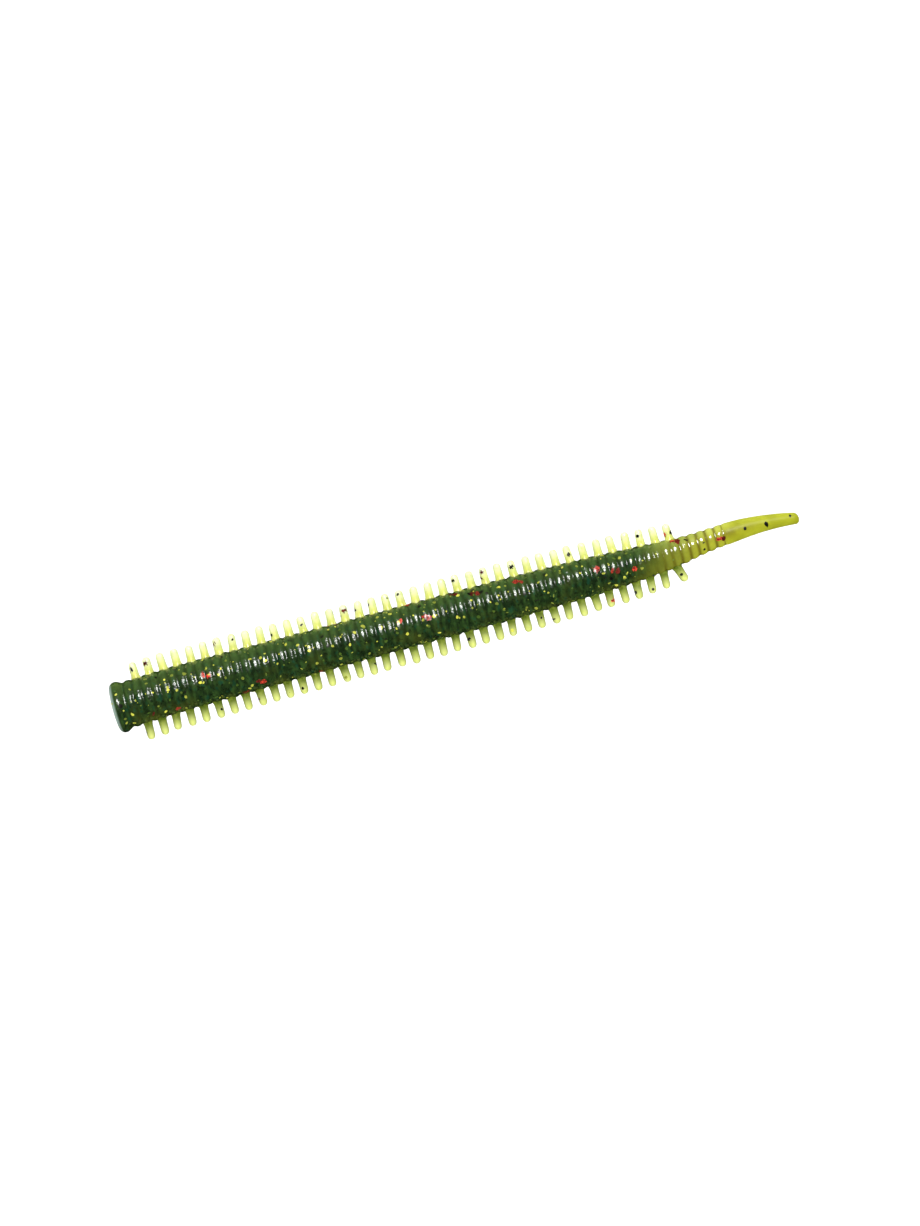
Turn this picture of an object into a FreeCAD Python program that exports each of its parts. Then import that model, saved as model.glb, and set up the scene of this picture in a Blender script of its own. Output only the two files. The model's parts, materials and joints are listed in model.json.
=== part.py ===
"""A soft plastic worm for fishing: a ribbed, tapering body with a row of legs down each side.

The worm is cast in very soft plastic, and it bends anywhere. Here its skin is cut at thirteen places
between the legs, and a bead of the inner core sits in each cut and lets the two sides turn both ways.
The tail is cut four times more, with a ball on one side of each cut and a socket on the other.
Each row of three legs turns up and down about a line through its roots.

Millimetres. The origin is the middle of the flat nose, +X runs to the tail, +Y is the worm's right
side as it lies on its belly with its nose leading, and +Z is up.
"""

import FreeCAD, Part

import math
import os

Vector = FreeCAD.Vector
X_AXIS = Vector(1, 0, 0)
Y_AXIS = Vector(0, 1, 0)
Z_AXIS = Vector(0, 0, 1)
ORIGIN = Vector(0, 0, 0)

# Driving dimensions
TOTAL_LENGTH = 127.0
LEG_PAIRS = 39
LEG_PITCH = 2.59
FIRST_LEG_X = 5.10
LEG_ROOT_RADIUS = 0.75
LEG_TIP_RADIUS = 0.62
LEG_REACH = 2.87
BENT_LEG_DEG = 18.0
LEGS_IN_ROW = 3
COLLAR_LENGTH = 2.6
COLLAR_RADIUS = 4.63
COLLAR_EDGE = 0.7
RING_COUNT = 67
GROOVE_DEPTH = 0.22

# The crest radius along the body, as (x, radius)
PROFILE = [
    (0.0, 4.28),
    (16.0, 4.22),
    (32.0, 4.06),
    (52.0, 3.93),
    (72.0, 3.87),
    (82.0, 3.71),
    (90.0, 3.49),
    (96.0, 3.20),
    (102.0, 2.80),
    (107.0, 2.32),
    (111.0, 2.05),
    (115.0, 1.90),
    (120.0, 1.52),
    (127.0, 1.00),
]

# Joints
SIDE_BEND_DEG = 9.0
UP_BEND_DEG = 12.0
TAIL_BEND_DEG = 20.0
CUT_GAP = 0.06
WALL = 1.05
BEAD_CLEARANCE = 0.10
BEAD_END_GAP = 0.12
BEAD_END_RADIUS = 0.40
LEG_POCKET_RADIUS = 0.98
LEG_ROOT_OFFSET = 0.10
BALL_SHARE = 0.62
BALL_CLEARANCE = 0.10
TAIL_CUTS = [113.2, 116.7, 120.2, 123.7]
# The way that the neck and each tail section point at rest, in degrees from +X towards +Y
REST_TURNS = [6.8, 3.0, 0.0, -5.0, -9.0]

# Worked out from the driving dimensions
ROWS = LEG_PAIRS // LEGS_IN_ROW
ROW_PITCH = LEG_PITCH * LEGS_IN_ROW
RING_PITCH = LEG_PITCH * 7 / 11
RIBS_END = COLLAR_LENGTH + RING_COUNT * RING_PITCH
CUTS = [FIRST_LEG_X + LEG_PITCH * (LEGS_IN_ROW - 0.5) + ROW_PITCH * i for i in range(ROWS)]
BEAD_HALF_LENGTH = ROW_PITCH / 2 - BEAD_END_GAP
# Half the angle of the gap at each cut: half of the largest bend, and a little more
CUT_HALF_ANGLE = math.hypot(SIDE_BEND_DEG, UP_BEND_DEG) / 2 + 0.5
TAIL_CUT_HALF_ANGLE = TAIL_BEND_DEG / 2 + 3.0
CORE_RADIUS = 3.1
BIG = 8.0


def crest_radius(x):
    """The body's radius at x, on a smooth line through PROFILE that keeps each point's slope."""
    x = min(max(x, PROFILE[0][0]), PROFILE[-1][0])
    last = len(PROFILE) - 2
    i = next((n for n in range(last + 1) if x <= PROFILE[n + 1][0]), last)

    def slope(n):
        before, after = PROFILE[max(n - 1, 0)], PROFILE[min(n + 1, last + 1)]
        return (after[1] - before[1]) / (after[0] - before[0])

    (x0, r0), (x1, r1) = PROFILE[i], PROFILE[i + 1]
    span = x1 - x0
    t = (x - x0) / span
    return (
        (2 * t**3 - 3 * t**2 + 1) * r0
        + (t**3 - 2 * t**2 + t) * span * slope(i)
        + (3 * t**2 - 2 * t**3) * r1
        + (t**3 - t**2) * span * slope(i + 1)
    )


def groove_radius(x):
    return crest_radius(x) - GROOVE_DEPTH


def bore_radius(x):
    return groove_radius(x) - WALL


def at(x, radius):
    """A point of an outline that is turned about the X axis."""
    return Vector(x, 0, radius)


def turned(edges):
    """The solid that a closed outline makes when it turns about the X axis."""
    face = Part.Face(Part.Wire(edges))
    return face.revolve(ORIGIN, X_AXIS, 360)


def polygon_turned(points):
    corners = [at(*p) for p in points]
    return turned([Part.LineSegment(a, b).toShape() for a, b in zip(corners, corners[1:] + corners[:1])])


def ribbed_rod(start, end):
    """A solid rod from start to end whose outside is a row of rounded rings, as cut from the whole row."""
    grooves = [COLLAR_LENGTH + n * RING_PITCH for n in range(RING_COUNT + 1)]
    grooves = [x for x in grooves if start - RING_PITCH < x < end + RING_PITCH]
    edges = []
    for x0, x1 in zip(grooves, grooves[1:]):
        middle = (x0 + x1) / 2
        arc = Part.Arc(
            at(x0, groove_radius(x0)), at(middle, crest_radius(middle)), at(x1, groove_radius(x1))
        )
        edges.append(arc.toShape())
    first, last = grooves[0], grooves[-1]
    edges.append(Part.LineSegment(at(last, groove_radius(last)), at(last, 0)).toShape())
    edges.append(Part.LineSegment(at(last, 0), at(first, 0)).toShape())
    edges.append(Part.LineSegment(at(first, 0), at(first, groove_radius(first))).toShape())
    rod = turned(edges)
    low, high = max(start, first), min(end, last)
    return rod.common(Part.makeCylinder(BIG, high - low, Vector(low, 0, 0), X_AXIS))


def cone_gap(pivot, side, half_angle):
    """What a section loses beside a cut, so that it can turn. Side 1 is behind the pivot, -1 before it."""
    spread = BIG * math.tan(math.radians(half_angle))
    return polygon_turned(
        [
            (pivot - side * BIG, 0),
            (pivot + side * CUT_GAP, 0),
            (pivot + side * (CUT_GAP + spread), BIG),
            (pivot - side * BIG, BIG),
        ]
    )


def bore(start, end):
    """The hollow that holds the beads, with its wall one thickness inside the grooves."""
    steps = 4
    xs = [start + (end - start) * n / steps for n in range(steps + 1)]
    return polygon_turned([(start, 0), (end, 0), *((x, bore_radius(x)) for x in reversed(xs))])


def bead_size(pivot):
    """The bead's widest radius, half its length and its end radius, so that it clears the bore tilted."""
    radius = bore_radius(pivot) - BEAD_CLEARANCE
    taper = math.atan2(bore_radius(pivot) - bore_radius(pivot + BEAD_HALF_LENGTH), BEAD_HALF_LENGTH)
    narrowing = math.tan(math.radians(UP_BEND_DEG + 0.5) + taper)
    half = min(BEAD_HALF_LENGTH, (radius - BEAD_END_RADIUS) / narrowing)
    return radius, half, radius - half * narrowing


def core_bead(pivot):
    """A bead of the core: widest at the cut, narrower to both ends so that it can tilt, and rounded off."""
    radius, half, end_radius = bead_size(pivot)
    front, rear = pivot - half, pivot + half
    outline = [(front, 0), (rear, 0), (rear, end_radius), (pivot, radius), (front, end_radius)]
    return polygon_turned(outline).common(Part.makeSphere(half, Vector(pivot, 0, 0)))


def leg_x(n):
    return FIRST_LEG_X + LEG_PITCH * n


def root_y(x):
    """How far from the middle the centre of a leg's round root is."""
    return groove_radius(x) + LEG_ROOT_OFFSET


def leg(n, side):
    """One leg: a round root, a shank that tapers a little, and a round tip. Side 1 is right, -1 left."""
    x = leg_x(n)
    length = crest_radius(x) + LEG_REACH - LEG_TIP_RADIUS - root_y(x)
    shank = Part.makeCone(LEG_ROOT_RADIUS, LEG_TIP_RADIUS, length, ORIGIN, Y_AXIS)
    tip = Part.makeSphere(LEG_TIP_RADIUS, Vector(0, length, 0))
    whole = Part.makeSphere(LEG_ROOT_RADIUS).fuse([shank, tip]).removeSplitter()
    if side < 0:
        whole.rotate(ORIGIN, X_AXIS, 180)
    if side < 0 and n == LEG_PAIRS - 1:
        whole.rotate(ORIGIN, Z_AXIS, BENT_LEG_DEG)
    whole.translate(Vector(x, side * root_y(x), 0))
    return whole


def leg_row(row, side):
    legs = range(row * LEGS_IN_ROW, (row + 1) * LEGS_IN_ROW)
    return Part.makeCompound([leg(n, side) for n in legs])


def leg_pockets(row):
    """The round hollows that the roots of one row's legs turn in, on both sides."""
    legs = range(row * LEGS_IN_ROW, (row + 1) * LEGS_IN_ROW)
    return [
        Part.makeSphere(LEG_POCKET_RADIUS, Vector(leg_x(n), side * root_y(leg_x(n)), 0), Y_AXIS * side)
        for n in legs
        for side in (1, -1)
    ]


def body_section(row):
    """The ribbed skin round one row of legs, with a bore through it and a cone-shaped gap at each cut."""
    rear = CUTS[row]
    if row == 0:
        front = COLLAR_LENGTH
        bead_end = rear - ROW_PITCH / 2
        hollow = bore(bead_end, rear + 1)
        core_hole = Part.makeCylinder(CORE_RADIUS, bead_end - front + 1, Vector(front - 1, 0, 0), X_AXIS)
        cutters = [core_hole, hollow]
    else:
        front = CUTS[row - 1]
        cutters = [bore(front - 1, rear + 1), cone_gap(front, 1, CUT_HALF_ANGLE)]
    cutters.append(cone_gap(rear, -1, CUT_HALF_ANGLE))
    return ribbed_rod(front, rear).cut(cutters + leg_pockets(row))


def nose_collar():
    """The thicker ring at the nose, with a rounded edge at both ends and a round hole for the core."""
    groove = groove_radius(COLLAR_LENGTH)
    middle = COLLAR_LENGTH / 2
    edge = COLLAR_EDGE
    inset = edge * (1 - math.sqrt(0.5))
    front_arc = Part.Arc(
        at(0, COLLAR_RADIUS - edge), at(inset, COLLAR_RADIUS - inset), at(edge, COLLAR_RADIUS)
    )
    rear_arc = Part.Arc(
        at(middle, COLLAR_RADIUS),
        at((middle + COLLAR_LENGTH) / 2 + 0.2, (COLLAR_RADIUS + groove) / 2 + 0.12),
        at(COLLAR_LENGTH, groove),
    )
    lines = [
        (at(0, CORE_RADIUS), at(0, COLLAR_RADIUS - edge)),
        (at(edge, COLLAR_RADIUS), at(middle, COLLAR_RADIUS)),
        (at(COLLAR_LENGTH, groove), at(COLLAR_LENGTH, CORE_RADIUS)),
        (at(COLLAR_LENGTH, CORE_RADIUS), at(0, CORE_RADIUS)),
    ]
    line_edges = [Part.LineSegment(a, b).toShape() for a, b in lines]
    return turned([line_edges[0], front_arc.toShape(), line_edges[1], rear_arc.toShape(), *line_edges[2:]])


def nose_core():
    """The end of the core that is fixed in the nose and shows as a disc in its flat face."""
    return Part.makeCylinder(CORE_RADIUS, CUTS[0] - ROW_PITCH / 2, ORIGIN, X_AXIS)


def turned_at_rest(shape, number):
    """Puts neck or tail section `number` where it lies at rest: each is turned about its own front pivot."""
    pivots = [CUTS[-1], *TAIL_CUTS]
    before = 0.0
    for n in range(number + 1):
        pivot = rest_point(pivots[n], n)
        shape.rotate(pivot, Z_AXIS, REST_TURNS[n] - before)
        before = REST_TURNS[n]
    return shape


def rest_point(x, sections_before):
    """Where the axis point at x lies at rest, after the turns of the sections in front of it."""
    pivots = [CUTS[-1], *TAIL_CUTS]
    place = Vector(pivots[0], 0, 0)
    for n in range(sections_before):
        end = x if n == sections_before - 1 else pivots[n + 1]
        turn = math.radians(REST_TURNS[n])
        place += Vector(math.cos(turn), math.sin(turn), 0) * (end - pivots[n])
    return place


def ball_radius(pivot):
    return BALL_SHARE * groove_radius(pivot)


def socket_radius(pivot):
    return ball_radius(pivot) + BALL_CLEARANCE


def rim(pivot, side):
    """Where the slanting end face beside a tail cut meets the outside. Side 1 is behind the cut."""
    slant = math.tan(math.radians(TAIL_CUT_HALF_ANGLE))
    radius = crest_radius(pivot)
    for _ in range(8):
        x = pivot + side * (CUT_GAP + radius * slant)
        radius = crest_radius(x)
    return x, radius


def seat(pivot, side, sphere_radius):
    """Where the same end face meets a sphere about the pivot."""
    slant = math.tan(math.radians(TAIL_CUT_HALF_ANGLE))
    spread = 1 + slant**2
    root = math.sqrt((CUT_GAP * slant) ** 2 + spread * (sphere_radius**2 - CUT_GAP**2))
    radius = (root - CUT_GAP * slant) / spread
    return pivot + side * (CUT_GAP + radius * slant), radius


def arc_about(pivot, start, end):
    """The arc of an outline about a point of the axis, from start to end."""
    angles = [math.atan2(radius, x - pivot) for x, radius in (start, end)]
    middle = sum(angles) / 2
    reach = math.hypot(start[0] - pivot, start[1])
    halfway = (pivot + reach * math.cos(middle), reach * math.sin(middle))
    return Part.Arc(at(*start), at(*halfway), at(*end)).toShape()


def line(start, end):
    return Part.LineSegment(at(*start), at(*end)).toShape()


def ribbed_neck():
    """The last rings, behind the legs, which join the body to the smooth tail."""
    front, rear = CUTS[-1], TAIL_CUTS[0]
    rings = ribbed_rod(front, RIBS_END)
    rim_start, rim_end = (RIBS_END, groove_radius(RIBS_END)), (rear, crest_radius(rear))
    plain = polygon_turned([(RIBS_END, 0), (rear, 0), rim_end, rim_start])
    hollow = bore(front - 1, front + bead_size(front)[1] + BEAD_END_GAP)
    gaps = [cone_gap(front, 1, CUT_HALF_ANGLE), cone_gap(rear, -1, TAIL_CUT_HALF_ANGLE)]
    socket = Part.makeSphere(socket_radius(rear), Vector(rear, 0, 0))
    return rings.fuse(plain).cut([hollow, socket, *gaps])


def tail_section(number):
    """Tail section 1 to 4: a ball in front, and behind it a socket for the next ball, or the round tip."""
    ends = [*TAIL_CUTS, TOTAL_LENGTH]
    front, rear = ends[number - 1], ends[number]
    ball_pole = (front - ball_radius(front), 0)
    ball_seat = seat(front, 1, ball_radius(front))
    front_rim = rim(front, 1)
    edges = [arc_about(front, ball_pole, ball_seat), line(ball_seat, front_rim)]
    if number < len(TAIL_CUTS):
        rear_rim = rim(rear, -1)
        socket_seat = seat(rear, -1, socket_radius(rear))
        pole = (rear - socket_radius(rear), 0)
        edges += [line(front_rim, rear_rim), line(rear_rim, socket_seat), arc_about(rear, socket_seat, pole)]
    else:
        tip = rear - crest_radius(rear)
        pole = (rear, 0)
        shoulder = (tip, crest_radius(rear))
        edges += [line(front_rim, shoulder), arc_about(tip, shoulder, pole)]
    edges.append(line(pole, ball_pole))
    return turned(edges)


def all_nodes():
    """Every sub-part by its name."""
    nodes = {"nose_collar": nose_collar(), "core_nose": nose_core()}
    for row in range(ROWS):
        nodes[f"body_section_{row + 1:02d}"] = body_section(row)
        nodes[f"core_bead_{row + 1:02d}"] = core_bead(CUTS[row])
        nodes[f"right_legs_{row + 1:02d}"] = leg_row(row, 1)
        nodes[f"left_legs_{row + 1:02d}"] = leg_row(row, -1)
    last_bead = f"core_bead_{ROWS:02d}"
    nodes[last_bead] = turned_at_rest(nodes[last_bead], 0)
    nodes["ribbed_neck"] = turned_at_rest(ribbed_neck(), 0)
    for number in range(1, len(TAIL_CUTS) + 1):
        nodes[f"tail_section_{number}"] = turned_at_rest(tail_section(number), number)
    return nodes


def main():
    os.makedirs("parts", exist_ok=True)
    for name, shape in all_nodes().items():
        if not shape.isValid():
            raise RuntimeError(f"{name} is not a valid solid")
        shape.exportStep(f"parts/{name}.step")
        print(name, "solids", len(shape.Solids), "volume", round(shape.Volume, 2))


if __name__ == "__main__":
    main()
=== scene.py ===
# %% [markdown]
# # A soft plastic worm, cast in two colours
#
# The worm is poured from very soft plastic. A clear yellow-green plastic makes the legs, the neck
# and the tail, and a dark green filling shows through the ribbed body. Glitter floats in all of it.
# This lesson builds it as surfaces worked out with numpy, round a plain model whose bodies and joints
# are already known. The collar and its flakes are tied to the first body.

# %% Load the frame
import json
import math

import bpy
import numpy as np
from mathutils import Matrix, Vector


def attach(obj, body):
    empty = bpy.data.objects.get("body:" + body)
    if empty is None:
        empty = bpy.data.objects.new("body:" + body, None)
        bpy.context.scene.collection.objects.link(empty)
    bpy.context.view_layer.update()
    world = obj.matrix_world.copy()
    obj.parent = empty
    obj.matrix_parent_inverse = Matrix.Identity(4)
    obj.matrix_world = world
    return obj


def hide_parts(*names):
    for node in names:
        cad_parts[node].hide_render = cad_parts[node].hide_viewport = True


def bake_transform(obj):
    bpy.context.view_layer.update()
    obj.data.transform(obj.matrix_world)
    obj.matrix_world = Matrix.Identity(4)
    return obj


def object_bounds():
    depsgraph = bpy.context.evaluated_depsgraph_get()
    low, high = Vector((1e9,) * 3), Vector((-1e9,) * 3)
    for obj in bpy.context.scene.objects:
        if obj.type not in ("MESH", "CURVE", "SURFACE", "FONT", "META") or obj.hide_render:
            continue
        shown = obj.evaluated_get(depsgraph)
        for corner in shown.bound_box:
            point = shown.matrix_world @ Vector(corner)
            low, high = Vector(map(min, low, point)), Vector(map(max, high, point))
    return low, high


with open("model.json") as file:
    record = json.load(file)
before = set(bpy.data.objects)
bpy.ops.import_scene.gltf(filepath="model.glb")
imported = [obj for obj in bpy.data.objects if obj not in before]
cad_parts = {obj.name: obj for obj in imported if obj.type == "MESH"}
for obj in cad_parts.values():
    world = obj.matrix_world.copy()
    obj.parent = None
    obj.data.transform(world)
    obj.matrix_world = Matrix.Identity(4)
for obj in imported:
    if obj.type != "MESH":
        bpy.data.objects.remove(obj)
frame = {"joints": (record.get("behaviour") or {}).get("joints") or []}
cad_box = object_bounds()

# %% [markdown]
# ## Sizes
#
# Sizes are kept in millimetres, as a maker would say them, and turned into metres when a mesh is
# made. The legs and the rings all come from a few numbers, and two short lists of points give the
# taper and the line of the worm's middle. The bending places could be typed in as well, but here they
# are read from the frame's joints, so they can't drift away from the model.

# %% Sizes of the worm
MM = 0.001
SEED = 417
LENGTH = 126.85
COLLAR_LENGTH = 2.6
COLLAR_RADIUS = 4.63
LEG_PITCH = 2.59
RING_PITCH = LEG_PITCH * 7 / 11
RING_COUNT = 67
RING_DEPTH = 0.22
RIBS_END = COLLAR_LENGTH + RING_PITCH * RING_COUNT
TIP_ROUNDING = 0.8
FIRST_LEG = 5.10
LEGS_IN_ROW = 3
ROWS = 13
LEG_REACH = 2.87
LEG_RADIUS = 0.77
LEG_TAPER = 0.08

RADIUS_POINTS = [
    (0.0, 4.28),
    (16.0, 4.22),
    (32.0, 4.06),
    (52.0, 3.93),
    (72.0, 3.87),
    (82.0, 3.71),
    (90.0, 3.49),
    (96.0, 3.20),
    (102.0, 2.80),
    (107.0, 2.32),
    (111.0, 2.05),
    (115.0, 1.90),
    (120.0, 1.52),
    (127.0, 1.00),
]
CENTRE_POINTS = [
    (0.0, -0.50),
    (3.0, -0.38),
    (6.0, -0.24),
    (10.0, -0.09),
    (14.0, 0.0),
    (92.0, 0.0),
    (99.0, 0.03),
    (104.8, 0.24),
    (109.0, 0.66),
    (113.2, 1.00),
    (116.7, 1.17),
    (120.2, 1.12),
    (123.7, 0.84),
    (127.0, 0.36),
]

joint_at = {j["name"]: Vector(j["pos_m"]) / MM for j in frame["joints"]}
CUTS = [joint_at[f"row_{n:02d}_bend_side"].x for n in range(1, ROWS + 1)]
TAIL_CUTS = [joint_at[f"curl_tail_{n}"].x for n in range(1, 5)]
print("the body bends at", [round(x, 2) for x in CUTS])
print("the tail bends at", [round(x, 2) for x in TAIL_CUTS])

# %% [markdown]
# ## The shape of the skin
#
# The skin is one surface of two parameters: x along the worm, and an angle round it. A real mould
# gives it a taper and a row of round ribs with a narrow groove between each two. It could be drawn
# as one long lathe profile, but then nothing would vary round the body. As a formula it can carry a
# small waviness too, which is what breaks up the highlight on hand-poured plastic.


# %% Smooth line through a few points
def smooth_line(points, x):
    """A line through the points that bends smoothly: on each span a cubic that starts and ends with
    the slope from the point before to the point after."""
    px, py = np.array(points, float).T
    slope = np.empty_like(py)
    slope[1:-1] = (py[2:] - py[:-2]) / (px[2:] - px[:-2])
    slope[0] = (py[1] - py[0]) / (px[1] - px[0])
    slope[-1] = (py[-1] - py[-2]) / (px[-1] - px[-2])
    x = np.clip(np.asarray(x, float), px[0], px[-1])
    i = np.clip(np.searchsorted(px, x, side="right") - 1, 0, len(px) - 2)
    span = px[i + 1] - px[i]
    t = (x - px[i]) / span
    return (
        (2 * t**3 - 3 * t**2 + 1) * py[i]
        + (t**3 - 2 * t**2 + t) * span * slope[i]
        + (3 * t**2 - 2 * t**3) * py[i + 1]
        + (t**3 - t**2) * span * slope[i + 1]
    )


print("radius at nose, middle and neck:", smooth_line(RADIUS_POINTS, [5, 60, 105]).round(2))

# %% Small waves of a hand-poured surface
rng = np.random.default_rng(SEED)
WAVES = 40
WAVE_HEIGHT = 0.010
wave_turns = rng.integers(2, 17, WAVES)
wave_pitch = rng.uniform(0.9, 4.5, WAVES)
wave_start = rng.uniform(0, 2 * np.pi, WAVES)
wave_lean = rng.choice([-1, 1], WAVES)
ring_height = rng.uniform(0.82, 1.0, RING_COUNT + 2)
print(WAVES, "waves, the shortest", wave_pitch.min().round(2), "mm long")


# %% Ribs and radius
def ripple(x, angle):
    """The sum of many low waves that run round the body and along it, each with its own number of
    turns, pitch and start. It closes on itself round the body."""
    x, angle = np.broadcast_arrays(x, angle)
    phase = (
        wave_turns * wave_lean * angle[..., None] + 2 * np.pi * x[..., None] / wave_pitch + wave_start
    )
    return np.sin(phase).sum(axis=-1) / math.sqrt(WAVES)


def rib(x):
    """How high the skin stands between the bottom of a groove, 0, and the crest of a rib, 1: a
    cosine wave made fuller, still level at both, times that rib's own height."""
    number = np.clip((np.asarray(x) - COLLAR_LENGTH) / RING_PITCH, 0, RING_COUNT - 1e-6)
    place = number - np.floor(number)
    own_height = ring_height[np.floor(number).astype(int)]
    crest = (1 - (0.5 + 0.5 * np.cos(2 * np.pi * place)) ** 1.6) * own_height
    return np.where((x < COLLAR_LENGTH) | (x > RIBS_END), 0.0, crest)


def skin_radius(x, angle):
    """The taper, less a groove's depth where there are ribs, plus the rib, plus the small waves, which
    are lower where the worm is thin. The tip is rounded off as a quarter of an ellipse."""
    x = np.asarray(x, float)
    taper = smooth_line(RADIUS_POINTS, x)
    ribbed = np.clip((RIBS_END + 0.5 - x) / 1.0, 0, 1)
    radius = taper - RING_DEPTH * ribbed + RING_DEPTH * rib(x)
    radius = radius + WAVE_HEIGHT * ripple(x, angle) * np.clip(taper / 3.5, 0, 1)
    from_tip = np.clip((LENGTH - x) / TIP_ROUNDING, 0, 1)
    return radius * np.sqrt(1 - (1 - from_tip) ** 2)


def skin_point(x, angle, lift=0.0):
    """A point of the skin: from the middle line, out by the radius and lift, in the direction that
    the angle gives. Angle 0 is the worm's right side and a quarter turn is its back."""
    x, angle = np.broadcast_arrays(np.asarray(x, float), np.asarray(angle, float))
    out = skin_radius(x, angle) + lift
    middle = smooth_line(CENTRE_POINTS, x)
    return np.stack([x, middle + out * np.cos(angle), out * np.sin(angle)], axis=-1)


print("a point on the back, halfway along:", skin_point(LENGTH / 2, np.pi / 2).round(2))

# %% [markdown]
# ## Turning a grid into a mesh
#
# Each surface arrives as a grid of points, rows along the piece and columns round it. A bent cylinder
# with a modifier could be used, but a grid keeps every point where the formula puts it. The last
# column joins the first, so there is no slit, and each end is closed by a fan of triangles to one
# point. Edges at the ends stay sharp, so that the closing faces don't pull the shading inward.


# %% Meshes from arrays
def tube_faces(rows, columns):
    """Quads between each two rows, wrapped round, as rows of four point numbers facing outwards."""
    r, c = np.meshgrid(np.arange(rows - 1), np.arange(columns), indexing="ij")
    here, right = r * columns + c, r * columns + (c + 1) % columns
    return np.stack([here, right, right + columns, here + columns], axis=-1).reshape(-1, 4)


def closed_tube(grid):
    """The points and faces of a tube closed at both ends by a fan round the middle of its end row."""
    rows, columns, _ = grid.shape
    points = np.concatenate([grid.reshape(-1, 3), [grid[0].mean(0)], [grid[-1].mean(0)]])
    quads = tube_faces(rows, columns)
    c = np.arange(columns)
    first, last = rows * columns, rows * columns + 1
    start = np.stack([np.full(columns, first), (c + 1) % columns, c], axis=-1)
    end_row = (rows - 1) * columns
    finish = np.stack([np.full(columns, last), end_row + c, end_row + (c + 1) % columns], axis=-1)
    return points, [quads, np.concatenate([start, finish])]


print("a tube of 5 rows and 8 columns has", len(tube_faces(5, 8)), "quads between its ends")


# %% Objects, painted numbers and the middle line
def make_piece(name, points, faces, sharp_degrees=80.0):
    """A mesh object at the origin from points in millimetres and lists of faces."""
    mesh = bpy.data.meshes.new(name)
    flat = [row for group in faces for row in group.tolist()]
    mesh.from_pydata((points * MM).tolist(), [], flat)
    mesh.polygons.foreach_set("use_smooth", np.ones(len(mesh.polygons), bool))
    mesh.set_sharp_from_angle(angle=math.radians(sharp_degrees))
    mesh.update()
    piece = bpy.data.objects.new(name, mesh)
    bpy.context.collection.objects.link(piece)
    return piece


def paint(piece, name, values):
    """Stores one number for each point, for a finish to read."""
    layer = piece.data.attributes.new(name, "FLOAT", "POINT")
    layer.data.foreach_set("value", np.asarray(values, np.float32).ravel())


def centre_at(x):
    """The point of the middle line at x, in metres."""
    return (x * MM, float(smooth_line(CENTRE_POINTS, x)) * MM, 0.0)


print("the middle line ends at", [round(v / MM, 2) for v in centre_at(LENGTH)])

# %% [markdown]
# ## Writing a finish as sums
#
# A finish is a small net of shader nodes. Wiring each node by hand hides the idea, so one class
# holds a socket and lets plain arithmetic add the Math nodes. Every other node comes from a single
# method, which sets the node up first and then gives its sockets their values or links.


# %% Nodes of a finish
class Finish:
    """The nodes of one material, or of the sky."""

    def __init__(self, owner):
        owner.use_nodes = True
        self.owner, self.tree = owner, owner.node_tree
        self.tree.nodes.clear()

    def node(self, kind, settings=None, sockets=None, out=0):
        """Adds a node of a kind, sets it up, fills or links its sockets, and gives back one output."""
        made = self.tree.nodes.new(kind)
        for key, value in (settings or {}).items():
            setattr(made, key, value)
        for key, value in (sockets or {}).items():
            if isinstance(value, Level):
                self.tree.links.new(value.socket, made.inputs[key])
            else:
                made.inputs[key].default_value = value
        return None if out is None else Level(self, made.outputs[out])

    def place(self):
        """The point being shaded, in the piece's own metres."""
        return self.node("ShaderNodeTexCoord", out="Object")

    def painted(self, name):
        """The number that paint() stored on the mesh under a name."""
        return self.node("ShaderNodeAttribute", {"attribute_name": name}, out="Fac")

    def noise(self, size_mm, detail=2.0, squeeze=1.0):
        """Cloudy noise of a size; squeeze above 1 makes it narrower along the worm."""
        stretch = {"Vector": self.place(), "Scale": (squeeze, 1.0, 1.0)}
        where = self.node("ShaderNodeMapping", {}, stretch)
        sockets = {"Vector": where, "Scale": 1 / (size_mm * MM), "Detail": detail}
        return self.node("ShaderNodeTexNoise", {}, sockets)

    def step(self, value, low, high):
        """0 below low and 1 above high, smooth between them."""
        settings = {"interpolation_type": "SMOOTHSTEP"}
        sockets = {"Value": value, "From Min": low, "From Max": high}
        return self.node("ShaderNodeMapRange", settings, sockets)

    def mix(self, share, a, b):
        """A colour between a and b."""
        return self.node("ShaderNodeMix", {"data_type": "RGBA"}, {0: share, 6: a, 7: b}, out=2)

    def bump(self, strength, depth_mm, height):
        """A slight tilt of the surface, as if it rose by the depth where height is 1."""
        sockets = {"Strength": strength, "Distance": depth_mm * MM, "Height": height}
        return self.node("ShaderNodeBump", {}, sockets)

    def plastic(self, sockets):
        """Ends the material in one shader with these sockets, and gives back the material."""
        shader = self.node("ShaderNodeBsdfPrincipled", {}, sockets)
        self.node("ShaderNodeOutputMaterial", {}, {"Surface": shader}, out=None)
        return self.owner


# %% Sockets that can be added and multiplied
class Level:
    """A socket that plain arithmetic works on."""

    def __init__(self, finish, socket):
        self.finish, self.socket = finish, socket

    def sum(self, operation, a, b):
        """Adds one Math node."""
        return self.finish.node("ShaderNodeMath", {"operation": operation}, {0: a, 1: b})

    def __add__(self, other):
        return self.sum("ADD", self, other)

    def __sub__(self, other):
        return self.sum("SUBTRACT", self, other)

    def __rsub__(self, other):
        return self.sum("SUBTRACT", other, self)

    def __mul__(self, other):
        return self.sum("MULTIPLY", self, other)

    __radd__, __rmul__ = __add__, __mul__


# %% New finishes and colours
def new_finish(name):
    """An empty material to build a finish in."""
    return Finish(bpy.data.materials.new(name))


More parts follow.
